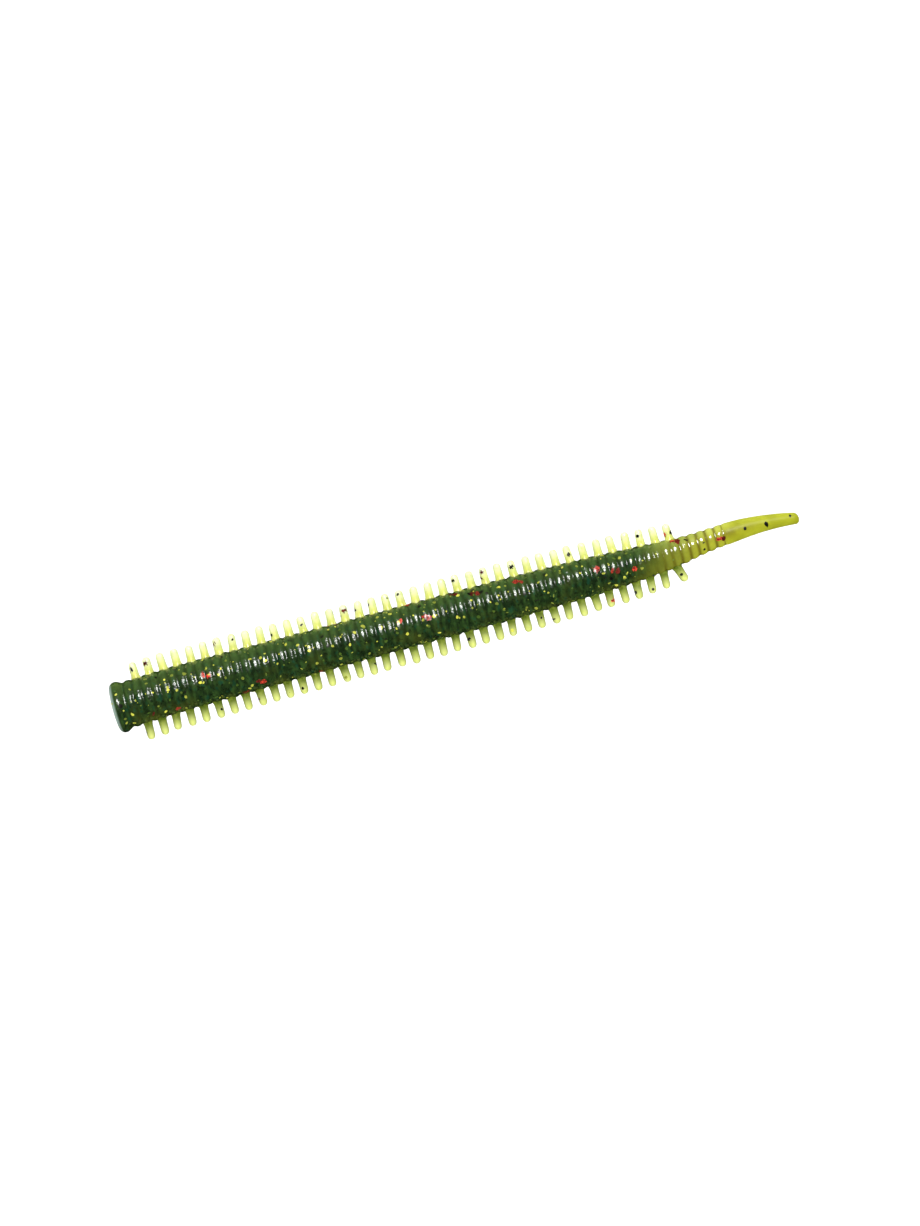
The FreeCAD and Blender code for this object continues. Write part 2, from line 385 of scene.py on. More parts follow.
def colour(red, green, blue):
    """A colour given as a screen shows it, 0 to 255, turned into the amounts of light that shaders
    use: divided by 12.92 where it is nearly black, and otherwise raised to the power 2.4."""
    shown = np.array([red, green, blue]) / 255
    light = np.where(shown <= 0.04045, shown / 12.92, ((shown + 0.055) / 1.055) ** 2.4)
    return (*light.tolist(), 1.0)


print("half grey as an amount of light:", round(colour(128, 128, 128)[0], 3))

# %% [markdown]
# ## The body's finish
#
# Through a millimetre of clear plastic the dark filling looks deep green, mottled, and a little
# bluer in spots. Towards the neck the filling runs out and the colour fades to yellow-green. An image
# wrapped round the body could carry this, but noise in the piece's own coordinates has no seam and
# stays sharp from close by, and numbers painted on the mesh say where a groove, the rim or the neck
# is. The surface is wet-looking, so roughness is low, and a fine bump makes each highlight ragged.


# %% Body finish
def clear_plastic(f):
    """The cloudy yellow-green of the neck and tail, browner where the filling ends in a thin streak, and
    paler on the right side as painted light, mostly along the neck.
    """
    cloud = f.step(f.noise(4.0, 2.0), 0.35, 0.7)
    clear = f.mix(cloud, colour(158, 162, 32), colour(140, 143, 22))
    core = f.painted("core") * f.step(f.noise(2.5, 2.0), 0.2, 0.6)
    clear = f.mix(core, clear, colour(104, 92, 14))
    # painted light: the neck, and a little of the tail, paler on the side the lamp shines on
    return f.mix(f.painted("neck_painted_light") * 0.5, clear, colour(205, 212, 112))


def body_finish():
    """Mottled deep green, paler on the lit side as painted light, and darker in the grooves as painted
    shade. The rim of the nose is paler, partly as the clear shell's edge and partly as a painted
    reflection. Along the neck it turns first to a plain green, paler on the lit side, and then to the
    clear plastic, with painted shade in its grooves and a faint painted highlight on its rib crests."""
    f = new_finish("body_green")
    cloud = f.noise(4.5, 3.0)
    streaks = f.noise(1.6, 3.0, squeeze=2.2)
    deep = f.mix(f.step(streaks, 0.35, 0.68), colour(22, 40, 15), colour(43, 69, 28))
    deep = f.mix(f.step(cloud, 0.45, 0.65) * 0.35, deep, colour(46, 56, 18))
    deep = f.mix(f.step(f.noise(1.2, 1.0, squeeze=1.6), 0.55, 0.72) * 0.5, deep, colour(8, 66, 46))
    deep = f.mix(f.step(f.noise(0.6, 1.0), 0.58, 0.70) * 0.65, deep, colour(12, 22, 6))
    # painted light: paler green on the side the lamp shines on
    deep = f.mix(f.painted("light_side") * 0.50, deep, colour(76, 102, 48))
    # painted shade: the grooves between the ribs are darkened
    deep = f.mix(f.painted("groove") * 0.40, deep, colour(8, 22, 6))
    # the nose's rim: partly the clear shell's edge, partly a painted reflection
    deep = f.mix(f.painted("rim") * 0.85, deep, colour(158, 178, 170))
    fade = f.painted("fade") + (cloud - 0.5) * 0.5
    # painted light here too: the plain green of the neck is paler on the lit side
    green = f.mix(f.painted("light_side"), colour(92, 100, 24), colour(126, 140, 58))
    half = f.mix(f.step(fade, 0.02, 0.5), deep, green)
    whole = f.mix(f.step(fade, 0.45, 0.95), half, clear_plastic(f))
    clearing = f.step(fade, 0.30, 0.80)
    # painted shade: the neck's grooves are darkened
    whole = f.mix(f.painted("groove") * clearing * 0.8, whole, colour(92, 82, 14))
    # painted highlight: the neck's rib crests are made a little paler
    whole = f.mix((1 - f.painted("groove")) * clearing * 0.08, whole, colour(196, 202, 96))
    return f.plastic(
        {
            "Base Color": whole,
            "Roughness": 0.19,
            "IOR": 1.45,
            "Specular IOR Level": 0.5,
            "Normal": f.bump(0.6, 0.12, f.noise(0.45, 1.0) + f.noise(1.3, 1.0) * 1.5),
        }
    )


body_green = body_finish()
print("finish:", body_green.name)

# %% [markdown]
# ## The clear yellow-green plastic
#
# Legs and tail are the same plastic with nothing dark inside. Light goes in, scatters and comes out
# somewhere else, so they glow and their edges look soft. A plain bright colour would look like chalk.
# Glass would be too clear and slow to render. So part of the legs' shader lets light straight through,
# and the rest scatters it under the surface. At a leg's root the dark body shows through, which is
# made by a darker colour there. The legs on the side of the light are painted pale as painted light,
# those on the other side darker as painted shade, most of all at the root, and the legs' flanks get
# painted shade too.


# %% Leg and tail finishes
def leg_finish():
    """Green at the root and pale at the tip, with slight clouds, and darker flanks as painted shade. The
    legs on the side that the light comes from are painted pale as painted light, and the others darker
    as painted shade, most of all at the root."""
    f = new_finish("leg_chartreuse")
    # painted light and shade: pale picks a lit copy of the colours for the legs on the lamp's side and a
    # shaded copy for the others
    far = f.mix(f.painted("pale"), colour(220, 226, 142), colour(234, 237, 200))
    near = f.mix(f.painted("pale"), colour(96, 116, 32), colour(218, 221, 116))
    root = f.mix(f.step(f.painted("along"), 0.0, 0.9), near, far)
    tint = f.mix(f.step(f.noise(1.0, 2.0), 0.45, 0.70) * 0.35, root, colour(190, 204, 92))
    # painted shade: the darker colour of each leg's flanks, lit and shaded copies
    edge = f.mix(f.painted("pale"), colour(104, 122, 36), colour(198, 210, 128))
    return f.plastic(
        {
            "Base Color": f.mix(f.painted("flank") * 0.7, tint, edge),
            "Roughness": 0.20,
            "IOR": 1.40,
            "Specular IOR Level": 0.10,
            "Transmission Weight": 0.22,
            "Subsurface Weight": 1.0,
            "Subsurface Radius": (1.0, 1.0, 0.6),
            "Subsurface Scale": 0.0005,
            "Normal": f.bump(0.25, 0.1, f.noise(0.5, 1.0)),
        }
    )


def tail_finish():
    """The clear plastic with a duller surface, and a little scattering under it."""
    f = new_finish("tail_chartreuse")
    return f.plastic(
        {
            "Base Color": clear_plastic(f),
            "Roughness": 0.42,
            "IOR": 1.45,
            "Specular IOR Level": 0.08,
            "Subsurface Weight": 0.30,
            "Subsurface Radius": (1.0, 1.0, 0.4),
            "Subsurface Scale": 0.0005,
            "Normal": f.bump(0.2, 0.1, f.noise(0.7, 1.0)),
        }
    )


leg_chartreuse = leg_finish()
tail_chartreuse = tail_finish()
print("finishes:", leg_chartreuse.name, tail_chartreuse.name)

# %% [markdown]
# ## Glitter
#
# The flakes are tiny six-sided plates cut from metal foil: small gold ones, black ones and a few
# large red ones. Each lies at its own slant in the plastic, so one flashes and its neighbour stays
# dull. Bare metal shows only what it reflects, and in this scene, where almost nothing but a lamp is
# reflected, it would look black. So each flake is coloured like paint, and carries a number that says
# how much it flashes: a painted glint, which turns its colour from dull to bright.


# %% Glitter finishes
def foil_finish(name, dull, bright, speckle):
    """From dull to bright by how much a flake flashes, as a painted glint, with dull specks over it."""
    f = new_finish(name)
    # painted glint: the flake's colour goes from dull to bright by its number
    tint = f.mix(f.painted("painted_glint"), dull, bright)
    grain = f.step(f.noise(0.25, 1.0), 0.40, 0.60) * speckle
    return f.plastic(
        {
            "Base Color": f.mix(grain, tint, dull),
            "Roughness": 0.28,
            "Specular IOR Level": 0.25,
        }
    )


# gold is number 0
BLACK, RED = 1, 2
# each foil's dull colour and its bright colour, which is a painted glint
foils = [
    foil_finish("gold_foil", colour(60, 86, 24), colour(222, 220, 78), 0.35),
    foil_finish("black_foil", colour(8, 10, 6), colour(34, 40, 22), 0.35),
    foil_finish("red_foil", colour(62, 14, 6), colour(214, 66, 42), 0.85),
]
print("foils:", [foil.name for foil in foils])

# %% [markdown]
# ## The ribbed skin
#
# The body bends at thirteen places, and each place turns twice: sideways, then up and down, with a
# bead of the filling between the two turns. So the skin is made in two pieces for each bend. One
# goes from the middle of a row of legs to the bend, and the other goes on from there. Every piece
# ends at the bottom of a groove, where a joint between pieces can't be seen.

# %% Skin pieces
ROUND = 96
STEPS_PER_RIB = 14
NECK_FROM = 109.0
FADE_FROM, FADE_LENGTH = 94.0, 17.0
STREAK_FROM, STREAK_TO = 104.0, 121.0


def nearest_groove(x):
    """The bottom of the groove nearest to x: a whole number of ring pitches behind the collar."""
    return COLLAR_LENGTH + RING_PITCH * round((x - COLLAR_LENGTH) / RING_PITCH)


def row_middle(row):
    """Where the middle leg of a row stands, with rows counted from 0."""
    return FIRST_LEG + LEG_PITCH * (LEGS_IN_ROW * row + 1)


def fade_at(x):
    """How far the dark filling has given way to clear plastic: 0 on the body, 1 on the tail."""
    return np.clip((np.asarray(x) - FADE_FROM) / FADE_LENGTH, 0, 1)


def light_side_at(across):
    """How much a place faces the light, which comes from the right: 0 up to a little past the middle
    of the worm, and 1 near its right edge. Across is -1 on the left edge and 1 on the right one."""
    return np.clip((across - 0.15) / 0.7, 0, 1)


def paint_skin(piece, points):
    """Stores what the finishes need to know. Fade is how clear the plastic is, a little less on the
    right side. The core is a thin streak in the middle that comes along the neck and goes along the
    tail."""
    x = points[:, 0]
    across = (points[:, 1] - smooth_line(CENTRE_POINTS, x)) / smooth_line(RADIUS_POINTS, x)
    before_tail = np.clip((RIBS_END + 3.0 - x) / 5.0, 0.15, 1)
    comes = np.clip((x - STREAK_FROM) / 9.0, 0, 1)
    goes = np.clip((STREAK_TO - x) / 6.0, 0, 1)
    paint(piece, "fade", fade_at(x) - 0.10 * across)
    # light_side marks where light is painted on the worm's right side
    paint(piece, "light_side", light_side_at(across))
    # painted light on the neck's right side, fading to a little on the tail
    paint(piece, "neck_painted_light", light_side_at(across) * before_tail)
    # groove marks where painted shade goes, at the bottom of each groove
    paint(piece, "groove", np.clip(1 - rib(x) * 1.6, 0, 1) * (x < RIBS_END))
    paint(piece, "core", np.clip(1.1 - np.abs(across) * 1.6, 0, 1) * comes * goes * 0.6)


def skin_piece(name, start, end, finish):
    """A closed length of skin: the skin's formula on a grid of x from start to end and a full turn."""
    rows = max(int(round((end - start) / RING_PITCH * STEPS_PER_RIB)), 4) + 1
    x = np.linspace(start, end, rows)
    angle = np.linspace(0, 2 * np.pi, ROUND, endpoint=False)
    points, faces = closed_tube(skin_point(x[:, None], angle[None, :]))
    piece = make_piece(name, points, faces)
    piece.data.materials.append(finish)
    paint_skin(piece, points)
    return piece


print("rows of legs are centred at", [round(row_middle(row), 2) for row in range(ROWS)])

# %% The body's skin
# each region: name, start, end, the two bodies, and where the turn from one to the other begins and ends
regions = []
for n in range(ROWS):
    row, core = f"body_row_{n + 1:02d}", f"core_{n + 1:02d}"
    behind = f"body_row_{n + 2:02d}" if n < ROWS - 1 else "neck"
    middle = nearest_groove(row_middle(n))
    bend = nearest_groove(CUTS[n])
    after = nearest_groove(row_middle(n + 1) if n < ROWS - 1 else NECK_FROM)
    front = COLLAR_LENGTH if n == 0 else middle
    regions.append((f"skin_before_bend_{n + 1:02d}", front, bend, row, core, middle, bend))
    regions.append((f"skin_behind_bend_{n + 1:02d}", bend, after, core, behind, bend, after))

for name, start, end, a, b, blend_start, blend_end in regions:
    piece = skin_piece(name, start, end, body_green)
    centre_at(blend_start)
    centre_at(blend_end)
    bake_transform(piece)
for n in range(1, ROWS + 1):
    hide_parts(f"body_section_{n:02d}", f"core_bead_{n:02d}")

# %% [markdown]
# ## Neck and tail
#
# Behind the last legs come a few more ribs and then the smooth tail, which lies in a slight arch.
# One piece could follow only two bodies, and the tail has five along it. So each piece here reaches
# from halfway before a bend to halfway behind it, and the two bodies that meet there are listed with it.

# %% Neck and tail pieces
neck_start = regions[-1][2]
halfway = [(a + b) / 2 for a, b in zip(TAIL_CUTS, TAIL_CUTS[1:])]
tail_edges = [neck_start, RIBS_END, *halfway[1:], LENGTH]
NECK_STIFF, HALF_BEND = 0.9, 1.7
bend_edges = [(neck_start + NECK_STIFF, RIBS_END)]
bend_edges += [(cut - HALF_BEND, cut + HALF_BEND) for cut in TAIL_CUTS[1:]]
tail_bodies = ["neck", "tail_1", "tail_2", "tail_3", "tail_4"]
tail_regions = []
for n, (bend_from, bend_to) in enumerate(bend_edges):
    start, end = tail_edges[n], tail_edges[n + 1]
    name = "neck_behind_legs" if n == 0 else f"tail_bend_{n + 1}"
    tail_regions.append((name, start, end, tail_bodies[n], tail_bodies[n + 1], bend_from, bend_to))
    finish = body_green if n == 0 else tail_chartreuse
    piece = skin_piece(name, start, end, finish)
    tail_bodies[n + 1]
    centre_at(bend_from)
    centre_at(bend_to)
    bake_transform(piece)
    "neck" if n == 0 else "tail"
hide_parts("ribbed_neck", "tail_section_1")
for n in range(2, 5):
    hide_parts(f"tail_section_{n}")
print("tail pieces meet at", [round(x, 2) for x in halfway])

# %% [markdown]
# ## The collar at the nose
#
# The nose is flat, with a thicker collar round it whose edges are rounded. A disc with bevelled edges
# would come close. A turned shape, a profile of radius against length swept round the middle line,
# also gives the slope down to the first groove. A little waviness keeps it from looking machined, and
# the flat face is dished very slightly, as poured plastic shrinks.

# %% Collar
COLLAR_EDGE = 1.05
FACE_DISH = 0.10
ARC_POINTS = 16
COLLAR_WAVE = 0.014


def collar_outline():
    """The profile as distances along and out: over the dished face, round the front edge, and down
    the band in half a cosine wave to the first groove."""
    turn = np.linspace(0, np.pi / 2, ARC_POINTS)
    face_out = np.linspace(0.02, COLLAR_RADIUS - COLLAR_EDGE, ARC_POINTS)
    face_along = FACE_DISH * (1 - (face_out / face_out[-1]) ** 2)
    front_along = COLLAR_EDGE - COLLAR_EDGE * np.cos(turn)
    front_out = COLLAR_RADIUS - COLLAR_EDGE + COLLAR_EDGE * np.sin(turn)
    back = np.linspace(0, 1, 22)[1:]
    groove = float(smooth_line(RADIUS_POINTS, COLLAR_LENGTH)) - RING_DEPTH
    back_along = COLLAR_EDGE + (COLLAR_LENGTH - COLLAR_EDGE) * back
    back_out = groove + (COLLAR_RADIUS - groove) * (0.5 + 0.5 * np.cos(np.pi * back**1.25))
    along = np.concatenate([face_along, front_along[1:], back_along])
    out = np.concatenate([face_out, front_out[1:], back_out])
    return along, out


outline_along, outline_out = collar_outline()
steps = np.hypot(np.diff(outline_along), np.diff(outline_out))
outline_walk = np.concatenate([[0], np.cumsum(steps)])
way_along = np.gradient(outline_along, outline_walk)
way_out = np.gradient(outline_out, outline_walk)
print("the collar's profile is", outline_walk[-1].round(2), "mm long")


def collar_point(walk, angle, lift=0.0):
    """A point of the collar: walked so far along its profile from the middle of the face, turned by
    the angle, and lifted square to the profile. The waves fade out towards the middle of the face."""
    walk, angle = np.broadcast_arrays(np.asarray(walk, float), np.asarray(angle, float))
    along = np.interp(walk, outline_walk, outline_along)
    out = np.interp(walk, outline_walk, outline_out)
    wave = COLLAR_WAVE * ripple(along * 0.6, angle) * np.clip(out / 4, 0, 1)
    x = along - lift * np.interp(walk, outline_walk, way_out)
    radius = out + wave + lift * np.interp(walk, outline_walk, way_along)
    middle = smooth_line(CENTRE_POINTS, along)
    return np.stack([x, middle + radius * np.cos(angle), radius * np.sin(angle)], axis=-1)


# %% The nose, with its pale shell round the end of the dark core and a painted reflection on its rim
def paint_nose(piece, points):
    """Facing is 1 on the flat face and fades to 0 over its rounded edge. There the shell is painted in
    the paler colour of the lit side, and its rim paler still, partly as the clear shell's edge and
    partly as a painted reflection, both by the distance from the middle."""
    side_y = points[:, 1] - smooth_line(CENTRE_POINTS, points[:, 0])
    from_middle = np.hypot(side_y, points[:, 2])
    facing = np.clip(1.4 - points[:, 0] / 0.5, 0, 1)
    shell = np.clip((from_middle - 2.5) / 0.7, 0, 1) * facing
    paint(piece, "light_side", np.maximum(light_side_at(side_y / COLLAR_RADIUS), shell))
    # rim marks where the nose's edge is painted pale, partly shell and partly painted reflection
    paint(piece, "rim", np.clip((from_middle - 3.2) / 0.9, 0, 1) * facing)


collar_angle = np.linspace(0, 2 * np.pi, ROUND, endpoint=False)
points, faces = closed_tube(collar_point(outline_walk[:, None], collar_angle[None, :]))
collar = make_piece("nose_collar_skin", points, faces)
collar.data.materials.append(body_green)
paint_nose(collar, points)
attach(collar, "body_row_01")
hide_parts("nose_collar", "core_nose")
print("collar:", len(collar.data.polygons), "faces")

# %% [markdown]
# ## The legs
#
# Each leg is a short round rod that tapers a little and ends in a dome. It swells where it grows
# out of the body, as a mould's sharp corner is always eased. One leg could be made and copied, but no
# two are quite alike, so a formula gives each its own small lean, length and thickness. Three legs
# make one piece.

# %% Legs
leg_rng = np.random.default_rng(SEED + 1)
LEG_ROUND = 26
LEG_ROWS = 30
DOME_ROWS = 9
ROOT_RISE = 0.10
LEG_SUNK = 0.7
ROOT_SWELLING, SWELLING_LENGTH = 0.14, 0.2
LEAN_SPREAD, LIFT_SPREAD = 0.035, 0.03
SIZE_RANGE = (0.96, 1.03)
LAST_LEG_LEAN = math.radians(19)


def leg_root(x):
    """How far out a leg starts: a little above the bottom of the grooves."""
    return float(smooth_line(RADIUS_POINTS, x)) - RING_DEPTH + ROOT_RISE


def leg_sizes(stretch, thickness):
    """A leg's length from its root, and the radius of its tip."""
    return (LEG_REACH + RING_DEPTH - ROOT_RISE) * stretch, (LEG_RADIUS - LEG_TAPER) * thickness


def leg_point(shape, s, angle, lift_off=0.0):
    """A point of a leg: s along it from its root, out by a radius that tapers a little and closes as a
    quarter of a circle at the tip. At the root a swelling is added that dies away exponentially."""
    x, side, lean, lift, stretch, thickness = shape
    s, angle = np.broadcast_arrays(np.asarray(s, float), np.asarray(angle, float))
    reach, tip = leg_sizes(stretch, thickness)
    outward = np.clip(s, 0, None)
    swelling = ROOT_SWELLING * np.exp(-outward / SWELLING_LENGTH)
    shank = thickness * (LEG_RADIUS - LEG_TAPER * np.clip(s / reach, 0, 1)) + swelling
    past = np.clip((s - (reach - tip)) / tip, 0, 1)
    r = np.where(past > 0, tip * np.sqrt(1 - past**2), shank) + lift_off
    px = x + r * np.cos(angle) + outward * math.sin(lean)
    py = side * (leg_root(x) + s * math.cos(lean)) - r * np.cos(angle) * math.sin(lean) * side
    pz = r * np.sin(angle) * side + outward * math.sin(lift)
    return np.stack([px, py + float(smooth_line(CENTRE_POINTS, x)), pz], axis=-1)


def leg_grid(shape):
    """A grid of a whole leg, how far along it each point is, and how far on its flank. Its rows are
    even along the shank and lie at even angles on the dome."""
    reach, tip = leg_sizes(*shape[-2:])
    straight = np.linspace(-LEG_SUNK, reach - tip, LEG_ROWS - DOME_ROWS)
    dome = reach - tip + tip * np.sin(np.linspace(0, np.pi / 2, DOME_ROWS + 2)[1:-1])
    s = np.concatenate([straight, dome])
    angle = np.linspace(0, 2 * np.pi, LEG_ROUND, endpoint=False)
    grid = leg_point(shape, s[:, None], angle[None, :])
    return grid, np.repeat(s / reach, LEG_ROUND), np.tile(np.abs(np.cos(angle)) ** 3, len(s))


print("a leg is", [round(v, 2) for v in leg_sizes(1, 1)], "mm long and round at its tip")


# %% Rows of three legs
def leg_row(row, side, name):
    """Three legs in one mesh, each with its own chance lean, lift, length and thickness. Only the last
    leg on the left is bent far back."""
    points, faces, along, flank, shapes, count = [], [[], []], [], [], [], 0
    for n in range(row * LEGS_IN_ROW, (row + 1) * LEGS_IN_ROW):
        lean = leg_rng.normal(0, LEAN_SPREAD)
        if n == ROWS * LEGS_IN_ROW - 1 and side < 0:
            lean = LAST_LEG_LEAN
        lift = leg_rng.normal(0, LIFT_SPREAD)
        stretch = leg_rng.uniform(*SIZE_RANGE)
        thickness = leg_rng.uniform(*SIZE_RANGE)
        shapes.append((FIRST_LEG + LEG_PITCH * n, side, lean, lift, stretch, thickness))
        grid, share, sideways = leg_grid(shapes[-1])
        leg_points, (quads, fans) = closed_tube(grid)
        points.append(leg_points)
        along.append(np.concatenate([share, [share[0], 1.0]]))
        flank.append(np.concatenate([sideways, [0.0, 0.0]]))
        faces[0].append(quads + count)
        faces[1].append(fans + count)
        count += len(leg_points)
    piece = make_piece(name, np.concatenate(points), [np.concatenate(group) for group in faces])
    paint(piece, "along", np.concatenate(along))
    # flank says where each leg's flanks get painted shade
    paint(piece, "flank", np.concatenate(flank))
    # pale marks the legs on the lamp's side, which get painted light; the others get painted shade
    paint(piece, "pale", np.full(count, float(side > 0)))
    return piece, shapes


def leg_bend(row, side):
    """Two points of a row, in metres: just inside its roots and just outside them, where a bend of the
    row would start and end."""
    x = row_middle(row)
    inner, outer = leg_root(x) - 0.1, leg_root(x) + 1.3
    return (x * MM, side * inner * MM, 0), (x * MM, side * outer * MM, 0)


leg_rows = []
for row in range(ROWS):
    for side, word in ((1, "right"), (-1, "left")):
        name = f"{word}_legs_{row + 1:02d}"
        piece, shapes = leg_row(row, side, f"{word}_legs_row_{row + 1:02d}_soft")
        piece.data.materials.append(leg_chartreuse)
        body, legs = f"body_row_{row + 1:02d}", f"{word}_legs_row_{row + 1:02d}"
        inner, outer = leg_bend(row, side)
        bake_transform(piece)
        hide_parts(name)
        leg_rows.append((name, body, legs, inner, outer, shapes))
print(len(leg_rows), "rows of legs")

# %% [markdown]
# ## Laying the flakes
#
# Dots painted in the skin's finish would be quicker, but real flakes have corners, which have to stay
# sharp from close by. A stiff little plate would stick out of a ribbed surface. So each flake is laid
# as a small six-sided patch in the surface's own two parameters, and lifted by a hair. It has a top, a
# bottom sunk in the plastic and six sides. All the flakes of one piece of skin make one mesh.


# %% Flakes
flake_rng = np.random.default_rng(SEED + 2)
FLAKE_LIFT, FLAKE_DEPTH = 0.018, 0.09
FLAKE_RINGS = 2
MOST_SLANT = 0.36


def hexagon_patch(radius):
    """For each flake, its points in the plane: a middle and rings of six corners. Each corner is
    nicked a little, and the flake looks narrower one way, by its slant, and is turned by an angle."""
    count = len(radius)
    turn, slant = flake_rng.uniform(0, np.pi, (2, count, 1))
    corner = np.tile(np.arange(6) * np.pi / 3, FLAKE_RINGS)[None, :]
    ring = np.repeat(np.arange(1, FLAKE_RINGS + 1) / FLAKE_RINGS, 6)[None, :]
    out = ring * radius[:, None] * np.tile(flake_rng.uniform(0.72, 1.12, (count, 6)), FLAKE_RINGS)
    wide, narrow = out * np.cos(corner), out * np.sin(corner) * np.cos(slant * MOST_SLANT)
    middle = np.zeros((count, 1))
    u = np.concatenate([middle, wide * np.cos(turn) - narrow * np.sin(turn)], axis=1)
    v = np.concatenate([middle, wide * np.sin(turn) + narrow * np.cos(turn)], axis=1)
    return u, v


def flake_faces(count):
    """The faces of so many flakes, each with its top, its bottom and its sides: fans of triangles in
    the middle, then quads, and how many of both one flake has."""
    size = 1 + 6 * FLAKE_RINGS
    c = np.arange(6)
    n = (c + 1) % 6
    fan = np.stack([np.zeros(6, int), 1 + c, 1 + n], axis=-1)
    bands = [
        np.stack([1 + k * 6 + c, 7 + k * 6 + c, 7 + k * 6 + n, 1 + k * 6 + n], axis=-1)
        for k in range(FLAKE_RINGS - 1)
    ]
    band = np.concatenate(bands)
    edge = 1 + (FLAKE_RINGS - 1) * 6
    side = np.stack([edge + c, size + edge + c, size + edge + n, edge + n], axis=-1)
    quads = np.concatenate([band, band[:, ::-1] + size, side])
    fans = np.concatenate([fan, fan[:, ::-1] + size])
    step = (np.arange(count) * size * 2)[:, None, None]
    all_fans, all_quads = (fans + step).reshape(-1, 3), (quads + step).reshape(-1, 4)
    return all_fans, all_quads, len(fans), len(quads)


print("one flake has", sum(flake_faces(1)[2:]), "faces")


# %% One mesh of many flakes
def glitter_piece(name, top, bottom, kinds, painted_glint, mirrored=False):
    """One mesh of many flakes, from the points of their tops and bottoms. Where a patch was laid the
    other way round, as on a leg, mirrored turns its faces outwards."""
    count = len(kinds)
    points = np.concatenate([top, bottom], axis=1).reshape(-1, 3)
    fans, quads, fans_each, quads_each = flake_faces(count)
    if mirrored:
        fans, quads = fans[:, ::-1], quads[:, ::-1]
    piece = make_piece(name, points, [fans, quads], sharp_degrees=40.0)
    for foil in foils:
        piece.data.materials.append(foil)
    indices = np.concatenate([np.repeat(kinds, fans_each), np.repeat(kinds, quads_each)])
    piece.data.polygons.foreach_set("material_index", indices.astype(np.int32))
    # painted glint: one number per flake that turns its colour from dull to bright
    paint(piece, "painted_glint", np.repeat(painted_glint, top.shape[1] * 2))
    return piece


# %% Flakes on the skin
LEAST_WIDTH = np.array([0.12, 0.26, 0.48])
MOST_WIDTH = np.array([0.40, 0.50, 0.86])
LIT_ANGLE, LIT_SPREAD, LIT_PAINTED_GLINT = 1.32, 0.25, 0.7


def flake_sizes(kinds):
    """Half the width of each flake, between the least and the most of its kind, and nearer the least
    more often."""
    low, high = LEAST_WIDTH[kinds], MOST_WIDTH[kinds]
    return low + (high - low) * flake_rng.uniform(0, 1, len(kinds)) ** 1.4


def painted_glint_of(kinds):
    """How much each flake flashes, as a painted glint: most are dull and a few are bright."""
    return flake_rng.uniform(0, 1, len(kinds)) ** 2.2


def lay_on_skin(name, x, around, kinds, half_width=None):
    """Flakes on the skin: each patch's own plane is wrapped on it, with u along x and v, over the
    radius, round it. Those near the angle of the light get more painted glint, by a bell curve round it."""
    u, v = hexagon_patch(flake_sizes(kinds) if half_width is None else half_width)
    patch_x = x[:, None] + u
    patch_a = around[:, None] - v / smooth_line(RADIUS_POINTS, patch_x)
    # painted glint: flakes near the angle of the highlight get more of it
    painted_glint = painted_glint_of(kinds) + LIT_PAINTED_GLINT * np.exp(-(((around - LIT_ANGLE) / LIT_SPREAD) ** 2))
    top = skin_point(patch_x, patch_a, FLAKE_LIFT)
    bottom = skin_point(patch_x, patch_a, -FLAKE_DEPTH)
    return glitter_piece(name, top, bottom, kinds, np.clip(painted_glint, 0, 1))


SKIN_SHARES = [0.82, 0.12, 0.06]
NECK_SHARES = [0.45, 0.25, 0.30]
FLAKES_PER_MM2, FEWER_WHERE_CLEAR = 0.34, 0.6
MARGIN = 0.2
RED_GAP, RED_TURN, RED_MARGIN = 0.9, 0.1, 0.3
# x, angle and half width of the few black flakes in the tail
TAIL_FLAKES = [
    (116.9, 1.62, 0.36),
    (120.8, 1.80, 0.58),
    (125.3, 1.10, 0.40),
    (115.2, 4.10, 0.38),
    (119.6, 5.00, 0.34),
    (123.4, 4.30, 0.42),
]

flake_count = 0
for name, start, end, a, b, blend_start, blend_end in regions + tail_regions[:1]:
    area = 2 * np.pi * float(smooth_line(RADIUS_POINTS, (start + end) / 2)) * (end - start)
    faded = float(fade_at((start + end) / 2))
    count = max(int(area * FLAKES_PER_MM2 * (1 - FEWER_WHERE_CLEAR * faded)), 4)
    kinds = flake_rng.choice(3, count, p=NECK_SHARES if faded > 0.6 else SKIN_SHARES)
    x = flake_rng.uniform(start + MARGIN, end - MARGIN, count)
    around = flake_rng.uniform(0, 2 * np.pi, count)
    # large red flakes cling together, so every second one lies beside the one before it
    reds = np.where(kinds == RED)[0]
    beside = reds[::2][: len(reds) // 2]
    x[reds[1::2]] = np.clip(x[beside] + RED_GAP, start + RED_MARGIN, end - RED_MARGIN)
    around[reds[1::2]] = around[beside] + RED_TURN
    piece = lay_on_skin("glitter_" + name, x, around, kinds)
    centre_at(blend_start)
    centre_at(blend_end)
    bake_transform(piece)
    flake_count += count
for name, start, end, a, b, blend_start, blend_end in tail_regions[1:]:
    places = np.array([place for place in TAIL_FLAKES if start < place[0] < end])
    kinds = np.full(len(places), BLACK)
    piece = lay_on_skin("glitter_" + name, places[:, 0], places[:, 1], kinds, places[:, 2])
    centre_at(blend_start)
    centre_at(blend_end)
    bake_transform(piece)
    flake_count += len(places)
print(flake_count, "flakes on the skin")

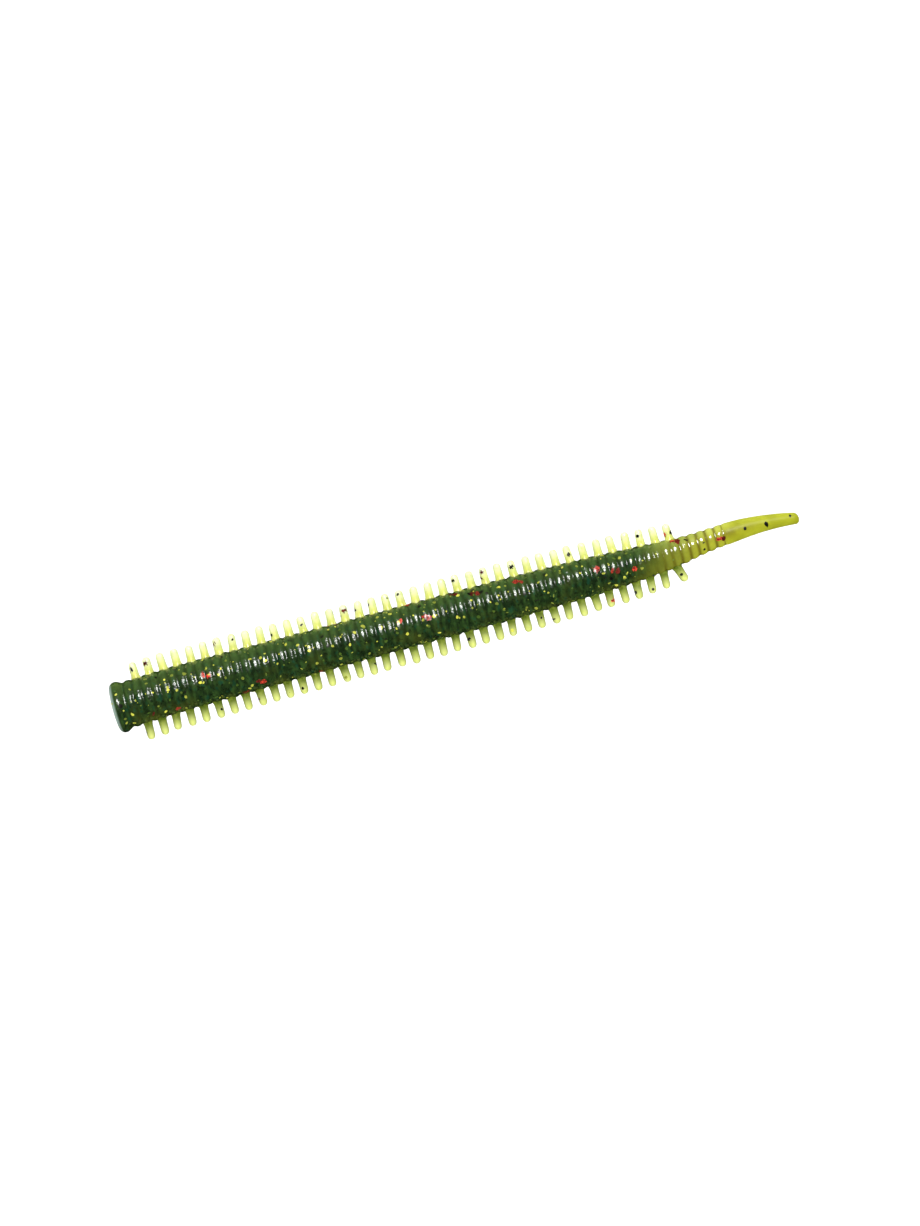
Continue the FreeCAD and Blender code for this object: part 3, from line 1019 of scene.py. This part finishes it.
# %% Flakes in the collar
COLLAR_FLAKES = 22
COLLAR_SHARES = [0.85, 0.10, 0.05]
kinds = flake_rng.choice(3, COLLAR_FLAKES, p=COLLAR_SHARES)
walk = flake_rng.uniform(outline_walk[ARC_POINTS + 2], outline_walk[-1] - 0.5, COLLAR_FLAKES)
around = flake_rng.uniform(0, 2 * np.pi, COLLAR_FLAKES)
u, v = hexagon_patch(flake_sizes(kinds))
walk, around = walk[:, None] + u, around[:, None] - v / COLLAR_RADIUS
top, bottom = collar_point(walk, around, FLAKE_LIFT), collar_point(walk, around, -FLAKE_DEPTH)
piece = glitter_piece("glitter_collar", top, bottom, kinds, painted_glint_of(kinds))
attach(piece, "body_row_01")
print(COLLAR_FLAKES, "flakes in the collar")

# %% Flakes in the legs
LEG_FLAKE_CHANCE, TRIES_PER_LEG = 0.55, 2
LEG_SHARES = [0.24, 0.60, 0.16]
LEG_FLAKE_LIFT, LEG_FLAKE_DEPTH = 0.012, 0.05
LEG_FLAKE_GROWTH, LEG_FLAKE_RANGE, MID_LEG_RADIUS = 1.05, (0.9, 2.2), 0.72
leg_flake_count = 0
for name, body, legs, inner, outer, shapes in leg_rows:
    tops, bottoms, kinds = [], [], []
    for shape in [shape for shape in shapes for _ in range(TRIES_PER_LEG)]:
        if flake_rng.uniform() > LEG_FLAKE_CHANCE:
            continue
        kind = int(flake_rng.choice(3, p=LEG_SHARES))
        u, v = hexagon_patch(flake_sizes(np.array([kind])) * LEG_FLAKE_GROWTH)
        s = flake_rng.uniform(*LEG_FLAKE_RANGE) + v
        around = flake_rng.uniform(0, 2 * np.pi) + u / MID_LEG_RADIUS
        tops.append(leg_point(shape, s, around, LEG_FLAKE_LIFT)[0])
        bottoms.append(leg_point(shape, s, around, -LEG_FLAKE_DEPTH)[0])
        kinds.append(kind)
    if not kinds:
        continue
    kinds = np.array(kinds)
    piece = glitter_piece(
        "glitter_" + name, np.array(tops), np.array(bottoms), kinds, painted_glint_of(kinds), mirrored=True
    )
    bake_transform(piece)
    leg_flake_count += len(kinds)
print(leg_flake_count, "flakes in the legs")

# %% [markdown]
# ## Floor, light and camera
#
# A pale floor, a pale sky and one soft light high on the worm's right. White all round would lie on
# dark wet plastic as a grey sheen, and hide how deep its colour is. So the floor, the sky and the soft
# light are left out of reflections, and a second lamp in the same place gives only the glints. The
# floor lies well below the worm, so that its shadow spreads out thin and the worm can bend down
# without meeting it. The camera looks straight down, turned so that the worm climbs to the right.

# %% Floor
FLOOR_HEIGHT, HALF_FLOOR = -0.065, 1.5
corners = [(-1, -1), (1, -1), (1, 1), (-1, 1)]
floor_points = [(x * HALF_FLOOR, y * HALF_FLOOR, FLOOR_HEIGHT) for x, y in corners]
floor_mesh = bpy.data.meshes.new("floor")
floor_mesh.from_pydata(floor_points, [], [(0, 1, 2, 3)])
floor = bpy.data.objects.new("floor", floor_mesh)
bpy.context.collection.objects.link(floor)
PAPER = {"Base Color": (0.93, 0.93, 0.93, 1), "Roughness": 0.8, "Specular IOR Level": 0.0}
floor.data.materials.append(new_finish("pale_floor").plastic(PAPER))
floor.visible_glossy = False
print("floor", -FLOOR_HEIGHT, "m below the worm's middle line")

# %% Sky and lamps
SLOPE = math.radians(15.2)
view_right = Vector((math.cos(SLOPE), -math.sin(SLOPE), 0))
view_up = Vector((math.sin(SLOPE), math.cos(SLOPE), 0))
AIM_SHIFT = 0.00055
aim = Vector(((cad_box[0][0] + cad_box[1][0]) / 2, 0, 0)) + view_right * AIM_SHIFT

sky = bpy.data.worlds.new("studio")
bpy.context.scene.world = sky
air = Finish(sky)
glow = air.node("ShaderNodeBackground", {}, {"Color": (1, 1, 1, 1), "Strength": 1.22})
air.node("ShaderNodeOutputWorld", {}, {"Surface": glow}, out=None)
sky.cycles_visibility.glossy = False

LAMP_TILT = math.radians(28)
LAMP_DISTANCE = 0.65
light_way = view_up * math.sin(LAMP_TILT) + Vector((0, 0, 1)) * math.cos(LAMP_TILT)
side_axis = view_up.cross(light_way).normalized()
lamp_axes = Matrix((side_axis, light_way.cross(side_axis), light_way)).transposed()


def lamp(name, width, height, watts):
    """A rectangle of light that faces the worm from the lamps' place."""
    data = bpy.data.lights.new(name, "AREA")
    data.shape, data.size, data.size_y, data.energy = "RECTANGLE", width, height, watts
    made = bpy.data.objects.new(name, data)
    bpy.context.collection.objects.link(made)
    made.location = aim + light_way * LAMP_DISTANCE
    made.rotation_euler = lamp_axes.to_euler()
    return made


softbox = lamp("softbox", 0.55, 0.40, 2.4)
softbox.visible_glossy = False
sparkle = lamp("sparkle", 0.16, 0.26, 15.0)
sparkle.visible_diffuse = False
sparkle.visible_transmission = False
print("lamps:", softbox.data.energy, "W and", sparkle.data.energy, "W")

# %% Camera
camera_data = bpy.data.cameras.new("camera")
camera_data.lens = 100
camera_data.sensor_width = 36
camera_data.clip_end = 10
camera = bpy.data.objects.new("camera", camera_data)
bpy.context.collection.objects.link(camera)
CAMERA_HEIGHT = 0.608
axes = Matrix((view_right, view_up, Vector((0, 0, 1)))).transposed()
camera.matrix_world = Matrix.Translation(aim + Vector((0, 0, CAMERA_HEIGHT))) @ axes.to_4x4()
bpy.context.scene.camera = camera
bpy.context.scene.view_settings.view_transform = "Standard"
print("camera over", tuple(round(v, 4) for v in aim))
